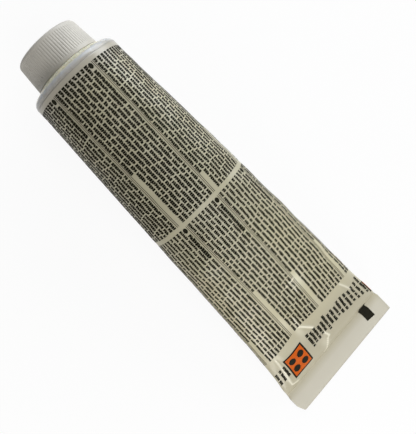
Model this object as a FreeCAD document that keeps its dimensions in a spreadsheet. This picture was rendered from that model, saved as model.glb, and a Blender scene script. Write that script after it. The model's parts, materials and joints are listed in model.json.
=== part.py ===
"""Squeeze tube of hardener paste, lying on its side: sleeve, moulded head, screw cap, liner, paste.

Millimetres, +Z up. The tube lies along X with the cap towards -X and the sealed tail towards +X,
and the table is the plane Z = 0. The origin is on the table, under the middle of the tube.
The filled sleeve tapers towards its tail, so the tube lies on its collar and on its seal, with
the head pointing slightly upwards. What is moulded about the head's axis is drawn upright, with that axis
along Z and the shoulder's plane at Z = 0, and one shared placement then lays it down.
"""
import FreeCAD, Part
import os

import Sketcher
from FreeCAD import Placement, Rotation, Vector

OUT = "parts"

SIZES = {
    # sleeve: an extruded tube, heat-sealed flat across its tail
    "tube_diameter": 38.0,
    "sleeve_wall": 0.5,
    "collar_length": 4.0,       # stays round, over the head's spigot
    "wedge_run": 147.0,         # from the collar to the inner edge of the seal
    "wedge_share": 0.52,        # share of its height that the sleeve loses along the wedge
    "tail_power": 11.0,         # how late the wedge closes to the seal
    "waist_rise": 0.4,          # clear height under the sleeve, half-way along the wedge
    "seal_length": 8.0,
    "seal_thickness": 1.0,
    "corner_cut_along": 3.6,    # trimmed corner of the seal
    "corner_cut_across": 2.4,
    # head: shoulder cone, neck and nozzle plate
    "weld_gap": 0.05,           # radial, between the spigot and the sleeve
    "spigot_depth": 3.5,
    "head_wall": 1.2,
    "rim_height": 0.3,          # straight edge of the shoulder below its rounding
    "shoulder_radius": 2.4,
    "shoulder_angle": 24.0,     # slope of the cone from the shoulder's plane, degrees
    "land_inset": 0.4,          # the cone ends in a flat land, this far inside the cap's skirt
    "neck_radius": 10.7,        # at the root of the thread
    "neck_height": 8.9,         # from the land to the nozzle's lip
    "lip_chamfer": 0.5,
    "bead_height": 0.8,         # bead at the foot of the neck
    "bead_depth": 0.5,
    "nozzle_plate": 1.4,
    "orifice_radius": 2.4,
    # cap
    "cap_gap": 0.3,             # between the skirt's edge and the land
    "cap_skirt_wall": 2.1,      # at the skirt's edge
    "cap_end_wall": 1.05,       # at the closed end: the difference is the mould's draft
    "cap_plate": 1.8,           # the closed end
    "cap_edge_radius": 1.3,
    "thread_depth": 1.0,        # room in the bore for the thread
    "thread_clearance": 0.2,
    "lead_in": 0.5,
    "rim_band": 1.1,            # plain band at the skirt's edge
    "end_band": 1.5,            # plain band at the closed end
    "flute_count": 72,
    "flute_depth": 0.35,
    "flute_width": 0.8,
    # liner: a foam wad that the cap presses on the nozzle's lip
    "liner_thickness": 1.0,
    "liner_clearance": 0.25,    # radial, in the cap's bore
    "seat_gap": 0.05,           # at each face of the liner
    # paste: fills the sleeve and the head
    "paste_gap": 0.2,
}

# Shares of the wedge's run at which the section is drawn. The hollow and the paste end short
# of the seal, where the two walls are pinched together.
WEDGE_STATIONS = (0.05, 0.13, 0.25, 0.38, 0.5, 0.61, 0.71, 0.8, 0.87, 0.92, 0.96, 0.985, 1.0)
HOLLOW_STATIONS = WEDGE_STATIONS[:-1]
PASTE_STATIONS = WEDGE_STATIONS[:-2] + (0.975,)

# A flattened circle keeps its girth: as an ellipse it is as wide as
# pi/2 - (pi/2 - 1) * (its height over the diameter) ^ GIRTH_POWER diameters, within 0.3%.
GIRTH_POWER = 1.69

# Expressions that several sub-parts share.
RADIUS = "(Sizes.tube_diameter / 2)"
NOSE_UP = f"atan(Sizes.wedge_share * {RADIUS} / Sizes.wedge_run)"
SLOPE = "(Sizes.shoulder_angle * 1 deg)"
CORNER_SET_BACK = f"(Sizes.shoulder_radius * tan((90 deg - {SLOPE}) / 2))"


def cone_height(radius):
    """Height of the shoulder cone's outer face over the shoulder's plane, at a radius."""
    return f"(Sizes.rim_height + {CORNER_SET_BACK} + ({RADIUS} - {radius}) * tan({SLOPE}))"


def inner_cone_height(radius):
    return f"({cone_height(radius)} - Sizes.head_wall / cos({SLOPE}))"


CAP_BORE = "(Sizes.neck_radius + Sizes.thread_depth + Sizes.thread_clearance)"
CAP_SKIRT = f"({CAP_BORE} + Sizes.cap_skirt_wall)"
CAP_TOP = f"({CAP_BORE} + Sizes.cap_end_wall)"
LAND_RADIUS = f"({CAP_SKIRT} - Sizes.land_inset)"
LAND = cone_height(LAND_RADIUS)
INNER_LAND = f"({LAND} - Sizes.head_wall)"
INNER_LAND_RADIUS = f"({LAND_RADIUS} - Sizes.head_wall * tan({SLOPE} / 2))"
BEAD_RADIUS = "(Sizes.neck_radius + Sizes.bead_depth)"
SPIGOT_RADIUS = f"({RADIUS} - Sizes.sleeve_wall - Sizes.weld_gap)"
SPIGOT_BORE = f"({SPIGOT_RADIUS} - Sizes.head_wall)"
NECK_BORE = "(Sizes.neck_radius - Sizes.head_wall)"
NECK_TOP = f"({LAND} + Sizes.neck_height)"
PLATE_UNDERSIDE = f"({NECK_TOP} - Sizes.nozzle_plate)"
LINER_FOOT = f"({NECK_TOP} + Sizes.seat_gap)"
CAP_FOOT = f"({LAND} + Sizes.cap_gap)"
CAP_CEILING = f"({LINER_FOOT} + Sizes.liner_thickness + Sizes.seat_gap)"
CAP_END = f"({CAP_CEILING} + Sizes.cap_plate)"
DRAFT = f"atan((Sizes.cap_skirt_wall - Sizes.cap_end_wall) / ({CAP_END} - {CAP_FOOT}))"
EDGE_SET_BACK = f"(Sizes.cap_edge_radius * tan((90 deg - {DRAFT}) / 2))"

# Where the laid-down head stands: the collar's far end touches the table, and the ends of the
# cap and of the seal are equally far from the origin.
CAP_REACH = (f"({CAP_END} * cos({NOSE_UP})"
             f" + ({CAP_TOP} - Sizes.cap_edge_radius) * sin({NOSE_UP}))")
COLLAR_RUN = f"(Sizes.collar_length * cos({NOSE_UP}))"
SHOULDER_X = f"(({CAP_REACH} - {COLLAR_RUN} - Sizes.wedge_run - Sizes.seal_length) / 2)"
COLLAR_X = f"({SHOULDER_X} + {COLLAR_RUN})"
COLLAR_Z = f"({RADIUS} * cos({NOSE_UP}))"
SHOULDER_Z = f"({COLLAR_Z} + Sizes.collar_length * sin({NOSE_UP}))"
SEAL_X = f"({COLLAR_X} + Sizes.wedge_run)"

doc = FreeCAD.newDocument("SqueezeTube")


def make_sheet():
    """Driving dimensions, one to a row: the name beside its value."""
    sheet = doc.addObject("Spreadsheet::Sheet", "Sizes")
    for row, (name, value) in enumerate(SIZES.items(), start=1):
        sheet.set(f"A{row}", name)
        sheet.set(f"B{row}", str(value))
        sheet.setAlias(f"B{row}", name)
    doc.recompute()
    return sheet


sizes = make_sheet()


def value(expression):
    """The number that an expression gives now, for a sketch's first guess."""
    result = sizes.evalExpression(expression)
    return getattr(result, "Value", result)


def new_body(name):
    body = doc.addObject("PartDesign::Body", name)
    body.Label = name
    return body


def origin_feature(body, role):
    return next(item for item in body.Origin.OriginFeatures if item.Role == role)


def new_sketch(body, name, role):
    """An empty sketch on one of the body's own origin planes."""
    sketch = body.newObject("Sketcher::SketchObject", name)
    sketch.AttachmentSupport = [(origin_feature(body, role), "")]
    sketch.MapMode = "FlatFace"
    return sketch


def offset_sketch(sketch, **offsets):
    """Bind the sketch's distance from its plane, along the plane's own x, y and z."""
    for direction, expression in offsets.items():
        sketch.setExpression(f"AttachmentOffset.Base.{direction}", expression)


def pin_point(sketch, edge, end, across, up):
    """Tie one end of an edge to the sketch's axes by two expressions."""
    for kind, axis, expression in (("DistanceX", -2, across), ("DistanceY", -1, up)):
        if expression == "0":
            sketch.addConstraint(Sketcher.Constraint("PointOnObject", edge, end, axis))
            continue
        number = sketch.addConstraint(
            Sketcher.Constraint(kind, -1, 1, edge, end, value(expression)))
        sketch.setExpression(f"Constraints[{number}]", expression)


def draw_outline(sketch, points, arcs=()):
    """A closed outline through (across, up) expressions.

    arcs names the points, by their place in the list, from which the outline goes on by an arc
    that leaves tangent to the edge before it. Every other stretch is straight.
    """
    places = [Vector(value(across), value(up), 0) for across, up in points]
    count = len(points)
    for index, start in enumerate(places):
        end = places[(index + 1) % count]
        if index in arcs:
            before = (start - places[index - 1]).normalize()
            chord = end - start
            side = Vector(-before.y, before.x, 0)
            radius = chord.dot(chord) / (2 * chord.dot(side))
            centre = start + side * radius
            half_way = centre + ((start - centre) + (end - centre)).normalize() * abs(radius)
            sketch.addGeometry(Part.Arc(start, half_way, end), False)
        else:
            sketch.addGeometry(Part.LineSegment(start, end), False)
    ends = [edge_ends(sketch, index, places[index]) for index in range(count)]
    for index in range(count):
        before = (index - 1) % count
        pin_point(sketch, index, ends[index][0], *points[index])
        if index in arcs:
            kind = "Tangent"
        else:
            kind = "Coincident"
        sketch.addConstraint(
            Sketcher.Constraint(kind, before, ends[before][1], index, ends[index][0]))


def edge_ends(sketch, edge, start):
    """Which of an edge's two ends is its first: an arc may be kept the other way round."""
    if (sketch.getPoint(edge, 1) - start).Length < (sketch.getPoint(edge, 2) - start).Length:
        return 1, 2
    return 2, 1


def draw_circle(sketch, radius):
    """A circle about the sketch's origin."""
    sketch.addGeometry(Part.Circle(Vector(0, 0, 0), Vector(0, 0, 1), value(radius)), False)
    sketch.addConstraint(Sketcher.Constraint("Coincident", 0, 3, -1, 1))
    number = sketch.addConstraint(Sketcher.Constraint("Radius", 0, value(radius)))
    sketch.setExpression(f"Constraints[{number}]", radius)


def draw_ellipse(sketch, half_width, half_height):
    """A level ellipse about the sketch's origin."""
    wide = value(half_width)
    high = value(half_height)
    ellipse = Part.Ellipse(Vector(wide, 0, 0), Vector(0, high, 0), Vector(0, 0, 0))
    sketch.addGeometry(ellipse, False)
    sketch.exposeInternalGeometry(0)
    major_axis, minor_axis = 1, 2
    sketch.addConstraint(Sketcher.Constraint("Coincident", 0, 3, -1, 1))
    sketch.addConstraint(Sketcher.Constraint("Horizontal", major_axis))
    for axis, half in ((major_axis, half_width), (minor_axis, half_height)):
        number = sketch.addConstraint(Sketcher.Constraint("Distance", axis, 2 * value(half)))
        sketch.setExpression(f"Constraints[{number}]", f"2 * {half}")


def revolve(body, name, sketch):
    """Turn an upright profile about the body's Z axis."""
    feature = body.newObject("PartDesign::Revolution", name)
    feature.Profile = sketch
    feature.ReferenceAxis = (sketch, ["V_Axis"])
    feature.Angle = 360
    return feature


def pad(body, name, sketch, length):
    feature = body.newObject("PartDesign::Pad", name)
    feature.Profile = sketch
    feature.setExpression("Length", length)
    return feature


def loft(body, name, kind, sketches):
    feature = body.newObject(f"PartDesign::{kind}", name)
    feature.Profile = sketches[0]
    feature.Sections = sketches[1:]
    return feature


def check_removal(body, before, what):
    """A cut that points away from the solid removes nothing and raises no error."""
    doc.recompute()
    if body.Shape.Volume > before - 1:
        raise RuntimeError(f"{what} removed nothing")


def lay_down(body):
    """The head's placement: its axis points to -X and slightly up."""
    body.Placement = Placement(Vector(0, 0, 0), Rotation(Vector(0, -1, 0), 90))
    body.setExpression("Placement.Base.x", SHOULDER_X)
    body.setExpression("Placement.Base.z", SHOULDER_Z)
    body.setExpression("Placement.Rotation.Angle", f"90 deg - {NOSE_UP}")


# --- the wedge: the sleeve's outer face, its hollow and the paste share these sections ---

def half_height(share):
    """Half the sleeve's height at a share of the wedge, never less than half the seal's."""
    closing = f"sqrt(1 - pow({share}; Sizes.tail_power))"
    wedge = f"{RADIUS} * (1 - Sizes.wedge_share * {share}) * {closing}"
    return f"max({wedge}; Sizes.seal_thickness / 2)"


def half_width(share):
    flatness = f"({half_height(share)} / {RADIUS})"
    return f"({RADIUS} * (pi / 2 - (pi / 2 - 1) * pow({flatness}; {GIRTH_POWER})))"


def section_tilt(share):
    """The section's plane turns from square with the head's axis to upright at the seal."""
    return f"({NOSE_UP} * {1 - share:.3f})"


def section_z(share):
    """Height of the section's middle: its foot is on the table at the collar and at the seal."""
    rise = f"Sizes.waist_rise * 4 * {share} * (1 - {share})"
    return f"({half_height(share)} * cos({section_tilt(share)}) + {rise})"


def tilt_sketch(sketch, angle, x, z):
    """Stand a sketch of the YZ plane at a row X and Z, leaning by an angle about Y."""
    sketch.AttachmentOffset = Placement(Vector(0, 0, 0), Rotation(Vector(1, 0, 0), 1))
    offset_sketch(sketch, y=z, z=x)
    sketch.setExpression("AttachmentOffset.Rotation.Angle", angle)


def wedge_sections(body, prefix, inset, stations):
    """The collar's circle and the ellipses of the wedge, each drawn in by the inset."""
    circle = new_sketch(body, f"{prefix}Collar", "YZ_Plane")
    draw_circle(circle, f"({RADIUS} - {inset})")
    tilt_sketch(circle, NOSE_UP, COLLAR_X, COLLAR_Z)
    sections = [circle]
    for number, share in enumerate(stations, start=1):
        section = new_sketch(body, f"{prefix}Section{number}", "YZ_Plane")
        draw_ellipse(section, f"({half_width(share)} - {inset})",
                     f"({half_height(share)} - {inset})")
        tilt_sketch(section, section_tilt(share), f"{COLLAR_X} + {share} * Sizes.wedge_run",
                    section_z(share))
        sections.append(section)
    return sections


def make_sleeve():
    """One extruded tube: a round collar, the wedge, and the flat seal with its trimmed corner."""
    body = new_body("sleeve")
    collar = new_sketch(body, "SleeveMouth", "YZ_Plane")
    draw_circle(collar, RADIUS)
    tilt_sketch(collar, NOSE_UP, SHOULDER_X, SHOULDER_Z)
    pad(body, "SleeveCollar", collar, "Sizes.collar_length")
    loft(body, "SleeveWedge", "AdditiveLoft", wedge_sections(body, "Outer", "0", WEDGE_STATIONS))

    seal = new_sketch(body, "SealOutline", "XY_Plane")
    half_seal = f"(pi / 2 * {RADIUS})"
    tail_end = f"({SEAL_X} + Sizes.seal_length)"
    draw_outline(seal, [
        (SEAL_X, half_seal),
        (SEAL_X, f"-{half_seal}"),
        (f"({tail_end} - Sizes.corner_cut_along)", f"-{half_seal}"),
        (tail_end, f"-({half_seal} - Sizes.corner_cut_across)"),
        (tail_end, half_seal),
    ])
    pad(body, "Seal", seal, "Sizes.seal_thickness")
    doc.recompute()

    volume = body.Shape.Volume
    mouth = new_sketch(body, "MouthBore", "YZ_Plane")
    draw_circle(mouth, f"({RADIUS} - Sizes.sleeve_wall)")
    tilt_sketch(mouth, NOSE_UP, SHOULDER_X, SHOULDER_Z)
    bore = body.newObject("PartDesign::Pocket", "CollarBore")
    bore.Profile = mouth
    bore.setExpression("Length", "Sizes.collar_length")
    bore.Reversed = True
    check_removal(body, volume, "the collar's bore")

    volume = body.Shape.Volume
    loft(body, "SleeveHollow", "SubtractiveLoft",
         wedge_sections(body, "Hollow", "Sizes.sleeve_wall", HOLLOW_STATIONS))
    check_removal(body, volume, "the sleeve's hollow")
    return body


def make_head():
    """Shoulder, land, neck and nozzle plate, moulded in one piece on to the sleeve's collar."""
    body = new_body("tube_head")
    profile = new_sketch(body, "HeadProfile", "XZ_Plane")
    cone_edge = f"({RADIUS} - {CORNER_SET_BACK} * cos({SLOPE}))"
    draw_outline(profile, [
        (SPIGOT_BORE, "-Sizes.spigot_depth"),
        (SPIGOT_RADIUS, "-Sizes.spigot_depth"),
        (SPIGOT_RADIUS, "0"),
        (RADIUS, "0"),
        (RADIUS, "Sizes.rim_height"),
        (cone_edge, cone_height(cone_edge)),
        (LAND_RADIUS, LAND),
        (BEAD_RADIUS, LAND),
        (BEAD_RADIUS, f"({LAND} + Sizes.bead_height)"),
        ("Sizes.neck_radius", f"({LAND} + Sizes.bead_height)"),
        ("Sizes.neck_radius", f"({NECK_TOP} - Sizes.lip_chamfer)"),
        ("(Sizes.neck_radius - Sizes.lip_chamfer)", NECK_TOP),
        ("Sizes.orifice_radius", NECK_TOP),
        ("Sizes.orifice_radius", PLATE_UNDERSIDE),
        (NECK_BORE, PLATE_UNDERSIDE),
        (NECK_BORE, INNER_LAND),
        (INNER_LAND_RADIUS, INNER_LAND),
        (SPIGOT_BORE, inner_cone_height(SPIGOT_BORE)),
    ], arcs=(4,))
    revolve(body, "Head", profile)
    lay_down(body)
    return body


def cap_side_radius(height):
    """Radius of the cap's drafted side at a height."""
    return f"({CAP_SKIRT} - ({height} - {CAP_FOOT}) * tan({DRAFT}))"


def make_cap():
    """Screw cap: a drafted cup with a rounded end and fine flutes between two plain bands."""
    body = new_body("screw_cap")
    profile = new_sketch(body, "CapProfile", "XZ_Plane")
    draw_outline(profile, [
        (CAP_BORE, f"({CAP_FOOT} + Sizes.lead_in)"),
        (f"({CAP_BORE} + Sizes.lead_in)", CAP_FOOT),
        (CAP_SKIRT, CAP_FOOT),
        (f"({CAP_TOP} + {EDGE_SET_BACK} * sin({DRAFT}))",
         f"({CAP_END} - {EDGE_SET_BACK} * cos({DRAFT}))"),
        (f"({CAP_TOP} - {EDGE_SET_BACK})", CAP_END),
        ("0", CAP_END),
        ("0", CAP_CEILING),
        (CAP_BORE, CAP_CEILING),
    ], arcs=(3,))
    revolve(body, "CapShell", profile)
    doc.recompute()

    volume = body.Shape.Volume
    ends = []
    for name, height in (("FluteFoot", f"({CAP_FOOT} + Sizes.rim_band)"),
                         ("FluteTop", f"({CAP_END} - Sizes.end_band)")):
        section = new_sketch(body, name, "XY_Plane")
        offset_sketch(section, z=height)
        side = cap_side_radius(height)
        draw_outline(section, [
            (f"({side} - Sizes.flute_depth)", "0"),
            (f"({side} + Sizes.flute_depth)", "-Sizes.flute_width"),
            (f"({side} + Sizes.flute_depth)", "Sizes.flute_width"),
        ])
        ends.append(section)
    flute = loft(body, "Flute", "SubtractiveLoft", ends)
    doc.recompute()
    pattern = body.newObject("PartDesign::PolarPattern", "Flutes")
    pattern.Originals = [flute]
    pattern.Axis = (origin_feature(body, "Z_Axis"), [""])
    pattern.Angle = 360
    pattern.setExpression("Occurrences", "Sizes.flute_count")
    body.Tip = pattern
    check_removal(body, volume, "the flutes")
    lay_down(body)
    return body


def make_liner():
    """Foam wad in the cap's bore."""
    body = new_body("cap_liner")
    outline = new_sketch(body, "LinerOutline", "XY_Plane")
    offset_sketch(outline, z=LINER_FOOT)
    draw_circle(outline, f"({CAP_BORE} - Sizes.liner_clearance)")
    pad(body, "Liner", outline, "Sizes.liner_thickness")
    lay_down(body)
    return body


def make_paste():
    """The contents: the wedge inside the sleeve, and what fills the head and its orifice."""
    body = new_body("paste")
    inset = "(Sizes.sleeve_wall + Sizes.paste_gap)"
    loft(body, "PasteWedge", "AdditiveLoft",
         wedge_sections(body, "Paste", inset, PASTE_STATIONS))

    front = new_sketch(body, "PasteFront", "XZ_Plane")
    front.AttachmentOffset = Placement(Vector(0, 0, 0), Rotation(Vector(0, 0, 1), 90))
    offset_sketch(front, x=SHOULDER_X, y=SHOULDER_Z)
    front.setExpression("AttachmentOffset.Rotation.Angle", f"90 deg - {NOSE_UP}")
    chest = f"({SPIGOT_BORE} - Sizes.paste_gap)"
    throat = f"({NECK_BORE} - Sizes.paste_gap)"
    throat_foot = f"({INNER_LAND} - Sizes.paste_gap)"
    throat_top = f"({PLATE_UNDERSIDE} - Sizes.paste_gap)"
    stub = "(Sizes.orifice_radius - Sizes.paste_gap)"
    stub_top = f"({NECK_TOP} - Sizes.paste_gap)"
    draw_outline(front, [
        ("0", "-Sizes.collar_length"),
        (chest, "-Sizes.collar_length"),
        (chest, f"({inner_cone_height(chest)} - Sizes.paste_gap)"),
        (INNER_LAND_RADIUS, throat_foot),
        (throat, throat_foot),
        (throat, throat_top),
        (stub, throat_top),
        (stub, stub_top),
        ("0", stub_top),
    ])
    revolve(body, "PasteHead", front)
    return body


def check_and_write(bodies):
    """Refuse a failed feature or a broken solid, then write one STEP file a sub-part."""
    doc.recompute()
    for item in doc.Objects:
        if {"Invalid", "Error"} & set(item.State):
            raise RuntimeError(f"{item.Name} failed: {item.State}")
    os.makedirs(OUT, exist_ok=True)
    for body in bodies:
        shape = body.Shape
        if shape.isNull() or not shape.isValid() or len(shape.Solids) != 1:
            raise RuntimeError(f"{body.Label} is not one valid solid")
        shape.exportStep(os.path.join(OUT, f"{body.Label}.step"))
        print(f"{body.Label}: {shape.Volume / 1000:.2f} ml")


check_and_write([make_sleeve(), make_head(), make_cap(), make_liner(), make_paste()])
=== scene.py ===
"""Looks of the hardener tube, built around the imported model.

It makes the sleeve's printed skin, the paste inside it, the fluted cap, the threads of neck and cap, every
material, the floor, the lamps and the camera. Lengths are in metres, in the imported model's frame: +X from
the cap to the flat seal, +Z up. A place on the skin is (d, s): d runs along the sheet from the shoulder,
and s round it from its top line, counted towards +Y. Creases, dents and print give d and s in millimetres.
"""

import json
import math
import random

import bpy
import numpy as np
from mathutils import Matrix, Vector


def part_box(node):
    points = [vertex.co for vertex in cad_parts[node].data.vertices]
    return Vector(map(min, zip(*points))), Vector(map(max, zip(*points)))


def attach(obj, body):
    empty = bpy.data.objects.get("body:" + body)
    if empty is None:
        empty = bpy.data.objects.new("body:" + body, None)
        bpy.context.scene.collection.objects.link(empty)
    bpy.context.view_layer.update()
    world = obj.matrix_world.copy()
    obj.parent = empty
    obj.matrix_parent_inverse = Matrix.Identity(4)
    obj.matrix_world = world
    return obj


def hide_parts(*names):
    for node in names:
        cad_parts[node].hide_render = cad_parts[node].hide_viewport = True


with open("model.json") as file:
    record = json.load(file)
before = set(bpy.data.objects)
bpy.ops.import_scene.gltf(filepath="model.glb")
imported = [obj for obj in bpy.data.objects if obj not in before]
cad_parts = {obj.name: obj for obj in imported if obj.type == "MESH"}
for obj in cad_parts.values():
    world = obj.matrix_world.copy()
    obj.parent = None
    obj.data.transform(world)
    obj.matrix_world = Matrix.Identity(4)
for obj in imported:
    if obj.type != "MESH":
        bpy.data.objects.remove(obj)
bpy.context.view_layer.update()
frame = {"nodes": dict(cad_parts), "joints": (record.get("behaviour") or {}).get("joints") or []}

MM = 0.001

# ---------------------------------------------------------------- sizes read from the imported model
SLEEVE_LOW, SLEEVE_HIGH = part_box("sleeve")
CAP_TURN = next(joint for joint in frame["joints"] if joint["name"] == "cap_turn")
AXIS = Vector(CAP_TURN["axis"])         # the head's axis, from the shoulder out through the cap
SHOULDER = Vector(CAP_TURN["pos_m"])    # centre of the shoulder's plane
TILT = math.atan2(AXIS.z, -AXIS.x)      # the head points up by this much
GIRTH = 2 * (SLEEVE_HIGH.y - SLEEVE_LOW.y)
RADIUS = GIRTH / (2 * math.pi)

# ---------------------------------------------------------------- the sleeve, as it is made
COLLAR = 4 * MM
SEAL = 8 * MM
SEAL_THICKNESS = 1 * MM
CORNER_ALONG, CORNER_ACROSS = 3.6 * MM, 1.4 * MM
DRAWN_IN = 1.1 * MM                     # the seal's -Y end is drawn in by this,
DRAWN_OVER = 8 * MM                     # over this much of the wedge
WALL = 0.45 * MM
COLLAR_X = SHOULDER.x + COLLAR * math.cos(TILT)
SEAL_X = SLEEVE_HIGH.x - SEAL
RUN = SEAL_X - COLLAR_X
TAPER = RUN * math.tan(TILT) / RADIUS   # share of its height that the sleeve loses along the wedge
# A section's width follows from the outline's height by a sheet's law, which would keep the girth. Towards
# the tail the filled sleeve is lower than the outline, as in the photo, so its girth is up to 4% short.
OUTLINE_POWER = 11.0                    # how late the outline spreads to the seal's width
HEIGHT_POWER = 4.6                      # how late the filled sleeve goes flat
FLAT_AT = 0.985                         # it is flat at this share of the wedge
WAIST_RISE = 0.4 * MM
WIDTH_POWER = 1.69                      # how a section widens as its outline flattens
SQUARENESS = 0.3                        # the seal's section: 1 is an ellipse, 0 a rectangle
SQUARE_FROM = 0.9                       # the section starts to turn square at this share of the wedge
LEAST_HALF_HEIGHT = 0.04 * MM           # of the inner face
SECTION_POINTS = 721                    # on the dense half section

# ---------------------------------------------------------------- the skin's grid
COLUMNS = 220                           # round the sleeve
COLLAR_ROWS, WEDGE_ROWS, SEAL_ROWS = 8, 310, 18
INNER_STEP = 6                          # every sixth row has a row on the inner face
INNER_END = 0.97                        # the inner face closes at this share of the wedge

# ---------------------------------------------------------------- the thread
PITCH = 3.175 * MM
NECK_ROOT, BORE = 10.7 * MM, 11.9 * MM
THREAD_RISE = 0.85 * MM
ROOT_HALF, CREST_HALF = 0.6 * MM, 0.3 * MM
THREAD_ROOTED = 0.05 * MM               # the ridge starts this deep in the wall
THREAD_STEPS = 72                       # to a turn
RUN_OUT_RATE = 9                        # it reaches its full height in a ninth of a turn
THREAD_SHARP = math.radians(50)
NECK_THREAD = (5.9 * MM, 12.3 * MM)     # heights above the shoulder's plane
CAP_THREAD = (6.3 * MM, 12.0 * MM)
# Turned so that the cap's ridge lies midway between two turns of the neck's.
CAP_THREAD_PHASE = math.pi + (CAP_THREAD[0] - NECK_THREAD[0]) / PITCH * 2 * math.pi

# ---------------------------------------------------------------- cap and contents, heights as above
CAP_FOOT, CAP_CEILING, CAP_END = 4.36 * MM, 14.26 * MM, 16.063 * MM
CAP_SKIRT, CAP_TOP = 14.0 * MM, 12.95 * MM
CAP_EDGE = 1.3 * MM
CAP_LEAD_IN = 0.5 * MM
FOOT_LIP = 0.17 * MM                    # the foot's outer edge follows the cone down by this much,
FOOT_LIP_WIDE = 0.5 * MM                # over this width,
FOOT_EDGE = 0.08 * MM                   # and is bevelled by this much
SKIRT_STEPS, EDGE_STEPS = 40, 8
EDGE_GAP = 0.3 * MM                     # the rounded edge continues the skirt's taper over this much
FLUTES, FLUTE_DEPTH = 80, 0.13 * MM
FLUTE_COLUMNS = 10                      # to a flute
FLUTE_SHARPNESS = 1.4
FLUTED_OUTSIDE = BORE + 1 * MM          # only what is further out than this has flutes
FLUTED = (5.4 * MM, 14.7 * MM)
FLUTE_RUN_OUT = 0.4 * MM
PASTE_GAP = 0.25 * MM
PASTE_END = 0.95                        # the paste ends at this share of the wedge
# Its part in the head, as (radius, height) in millimetres from the wedge up into the nozzle.
PASTE_HEAD = ((17.05, -3.9), (17.05, 1.2), (13.3, 2.86), (9.3, 2.86), (9.3, 11.56), (2.2, 11.56), (2.2, 12.8))
PASTE_TIP = 0.1                         # and it ends in a point this much higher
SHARP = math.radians(40)                # cap and paste look smooth over edges flatter than this

# ---------------------------------------------------------------- colours, linear
COLLAR_TONE = (0.34, 0.315, 0.27)       # over the paste the thin wall looks darker than at the empty seal
BODY_TONE = (0.405, 0.377, 0.262)
# The tail is painted lighter than the body, partly as painted light for the extra light that falls there.
TAIL_TONE_AND_LIGHT = (0.52, 0.48, 0.318)
BLANK_TONE = (0.42, 0.385, 0.275)
SEAL_TONE = (0.495, 0.465, 0.375)
# Places are shares of the sleeve's length; the seal's tone is added where the seal begins.
SKIN_TONES = ((0.0, COLLAR_TONE), (0.06, BODY_TONE), (0.44, BODY_TONE),
              (0.6, TAIL_TONE_AND_LIGHT), (0.76, TAIL_TONE_AND_LIGHT), (0.85, BLANK_TONE))
SKIN_MOTTLE = (0.86, 0.86, 0.84)        # darkens the skin in soft spots
# Pale tone of the folds' real whitening, also used for the painted highlights along folds and in dents.
FOLD_WHITE_AND_HIGHLIGHT = (0.86, 0.83, 0.68)
INK = (0.0078, 0.0072, 0.004)
ORANGE = (0.60, 0.105, 0.004)
CAP_WHITE = (0.468, 0.445, 0.397)
HEAD_RIM = (0.39, 0.37, 0.33)
# The white band on the rounding is partly a painted highlight.
HEAD_WHITE_AND_HIGHLIGHT = (0.435, 0.44, 0.445)
HEAD_YELLOW = (0.56, 0.53, 0.39)
# The paler yellow next to the cap's foot is partly a painted glow that lights the shade of the gap.
NECK_YELLOW_AND_GLOW = (0.78, 0.735, 0.53)
HEAD_TONE_HEIGHT = 5 * MM               # places on the head are shares of this height
HEAD_TONES = ((0.1, HEAD_RIM), (0.28, HEAD_WHITE_AND_HIGHLIGHT), (0.36, HEAD_WHITE_AND_HIGHLIGHT), (0.5, HEAD_YELLOW), (0.7, NECK_YELLOW_AND_GLOW))
HEAD_FLECK = (0.82, 0.82, 0.80)         # darkens the head in soft spots
FOAM_PALE, FOAM_DARK = (0.66, 0.66, 0.64), (0.48, 0.48, 0.46)
PASTE_PALE, PASTE_DARK = (0.62, 0.55, 0.40), (0.52, 0.45, 0.31)


# ================================================================ the skin's shape
def section(x, inset=0.0):
    """Half a section, from its top line to its bottom line on the +Y side, as dense points.

    x is its place along the tube, and inset how far inside the outer face it lies.
    """
    angle = np.linspace(0, math.pi, SECTION_POINTS)
    up = np.cos(angle)
    side = np.sin(angle)
    if x <= COLLAR_X:
        centre = SHOULDER - AXIS * (x - SHOULDER.x) / math.cos(TILT)
        reach = RADIUS - inset
        return np.stack([centre.x + reach * up * math.sin(TILT), reach * side,
                         centre.z + reach * up * math.cos(TILT)], 1)
    share = min((x - COLLAR_X) / RUN, 1.0)
    wedge = RADIUS * (1 - TAPER * share)
    outline = max(wedge * math.sqrt(1 - share ** OUTLINE_POWER), SEAL_THICKNESS / 2)
    half_width = RADIUS * (math.pi / 2 - (math.pi / 2 - 1) * (outline / RADIUS) ** WIDTH_POWER)
    filled = max(1 - (share / FLAT_AT) ** HEIGHT_POWER, 0.0)
    half_height = max(wedge * math.sqrt(filled), SEAL_THICKNESS / 2)
    tilt = TILT * (1 - share)
    middle = half_height * math.cos(tilt) + WAIST_RISE * 4 * share * (1 - share)
    flatness = min(max((share - SQUARE_FROM) / (1 - SQUARE_FROM), 0.0), 1.0)
    power = 1 - (1 - SQUARENESS) * flatness ** 2
    up = np.sign(up) * np.abs(up) ** power
    side = np.abs(side) ** power
    half_height = max(half_height - inset, LEAST_HALF_HEIGHT)
    half_width -= inset
    return np.stack([x + half_height * up * math.sin(tilt), half_width * side,
                     middle + half_height * up * math.cos(tilt)], 1)


def row(x, inset=0.0):
    """One row of the grid: points evenly spaced round the section, from the bottom line's -Y side."""
    half = section(x, inset)
    travel = np.concatenate([[0], np.cumsum(np.linalg.norm(np.diff(half, axis=0), axis=1))])
    places = np.linspace(0, travel[-1], COLUMNS // 2 + 1)
    right = np.stack([np.interp(places, travel, half[:, k]) for k in range(3)], 1)
    left = (right * (1, -1, 1))[::-1]
    return np.concatenate([left, right[1:]])


def draw_in(points):
    """Draws the tail's -Y side in a little, over the last stretch before the seal."""
    late = np.clip((points[..., 0] - (SEAL_X - DRAWN_OVER)) / DRAWN_OVER, 0, 1)
    off_middle = np.clip(-points[..., 1] / (GIRTH / 4), 0, 1)
    points[..., 1] += DRAWN_IN * late * late * (3 - 2 * late) * off_middle ** 3
    return points


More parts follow.
